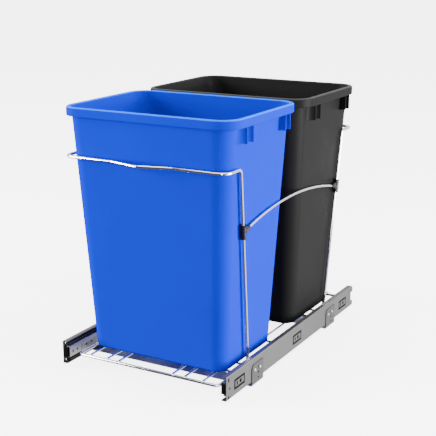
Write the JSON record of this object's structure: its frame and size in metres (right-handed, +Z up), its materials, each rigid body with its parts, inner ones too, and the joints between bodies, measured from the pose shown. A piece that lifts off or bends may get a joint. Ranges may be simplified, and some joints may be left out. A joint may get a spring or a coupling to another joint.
{
  "type": "pull-out waste bin unit",
  "caption": "Pull-out waste sorting unit: tapered bins stand in a chrome wire frame that runs on full-extension ball slides joined by floor straps.",
  "frame": {"origin": "on the floor, under the middle of the unit's length and width", "axes": "+X to the right seen from the front, +Y to the rear of the cabinet, +Z up; the frame pulls out along -Y"},
  "size_m": [0.352, 0.5604, 0.4861],
  "materials": {
    "blue_plastic": "satin blue moulded plastic",
    "black_plastic": "satin black moulded plastic",
    "clip_plastic": "smooth black plastic",
    "bumper_plastic": "smooth black plastic",
    "chrome_wire": "bright chrome plate",
    "ball_steel": "polished",
    "cage_steel": "plain strip",
    "rivet_steel": "bright zinc plate",
    "strap_steel": "zinc plate",
    "middle_steel": "zinc plate, greased",
    "rail_steel": "zinc plate"
  },
  "bodies": {
    "cabinet_side": {"cabinet_rail_left": "rail_steel", "cabinet_rail_right": "rail_steel", "floor_strap_front": "strap_steel", "floor_strap_rear": "strap_steel", "strap_rivets": "rivet_steel"},
    "pull_out_frame": {"drawer_rail_left": "rail_steel", "drawer_rail_right": "rail_steel", "perimeter_wire": "chrome_wire", "long_wires": "chrome_wire", "cross_wires": "chrome_wire", "frame_brackets": "strap_steel", "bracket_rivets": "rivet_steel", "front_hoop": "chrome_wire", "rear_hoop": "chrome_wire", "brace_left": "chrome_wire", "brace_right": "chrome_wire", "clip_front_left": "clip_plastic", "clip_front_right": "clip_plastic", "clip_rear_left": "clip_plastic", "clip_rear_right": "clip_plastic"},
    "middle_member_left": {"middle_rail_left": "middle_steel", "middle_bumper_left": "bumper_plastic"},
    "outer_cage_left": {"outer_ball_cage_left": "cage_steel", "outer_balls_left": "ball_steel"},
    "inner_cage_left": {"inner_ball_cage_left": "cage_steel", "inner_balls_left": "ball_steel"},
    "middle_member_right": {"middle_rail_right": "middle_steel", "middle_bumper_right": "bumper_plastic"},
    "outer_cage_right": {"outer_ball_cage_right": "cage_steel", "outer_balls_right": "ball_steel"},
    "inner_cage_right": {"inner_ball_cage_right": "cage_steel", "inner_balls_right": "ball_steel"},
    "front_bin": {"bin_front": "blue_plastic"},
    "rear_bin": {"bin_rear": "black_plastic"}
  },
  "joints": [
    {"name": "pull_out_slide", "type": "slide", "parent": "cabinet_side", "child": "pull_out_frame", "axis": [0, -1, 0], "range_m": [0, 0.5461]},
    {"name": "middle_slide_left", "type": "slide", "parent": "cabinet_side", "child": "middle_member_left", "axis": [0, -1, 0], "range_m": [0, 0.27325]},
    {"name": "outer_cage_slide_left", "type": "slide", "parent": "cabinet_side", "child": "outer_cage_left", "axis": [0, -1, 0], "range_m": [0, 0.13673]},
    {"name": "inner_cage_slide_left", "type": "slide", "parent": "cabinet_side", "child": "inner_cage_left", "axis": [0, -1, 0], "range_m": [0, 0.40978]},
    {"name": "middle_slide_right", "type": "slide", "parent": "cabinet_side", "child": "middle_member_right", "axis": [0, -1, 0], "range_m": [0, 0.27325]},
    {"name": "outer_cage_slide_right", "type": "slide", "parent": "cabinet_side", "child": "outer_cage_right", "axis": [0, -1, 0], "range_m": [0, 0.13673]},
    {"name": "inner_cage_slide_right", "type": "slide", "parent": "cabinet_side", "child": "inner_cage_right", "axis": [0, -1, 0], "range_m": [0, 0.40978]},
    {"name": "front_bin_lift", "type": "slide", "parent": "pull_out_frame", "child": "front_bin", "axis": [0, 0, 1], "range_m": [0, 0.47]},
    {"name": "rear_bin_lift", "type": "slide", "parent": "pull_out_frame", "child": "rear_bin", "axis": [0, 0, 1], "range_m": [0, 0.47]}
  ],
  "couplings": [
    {"joint": "middle_slide_left", "follows": "pull_out_slide", "ratio": 0.5},
    {"joint": "outer_cage_slide_left", "follows": "pull_out_slide", "ratio": 0.25},
    {"joint": "inner_cage_slide_left", "follows": "pull_out_slide", "ratio": 0.75},
    {"joint": "middle_slide_right", "follows": "pull_out_slide", "ratio": 0.5},
    {"joint": "outer_cage_slide_right", "follows": "pull_out_slide", "ratio": 0.25},
    {"joint": "inner_cage_slide_right", "follows": "pull_out_slide", "ratio": 0.75}
  ]
}
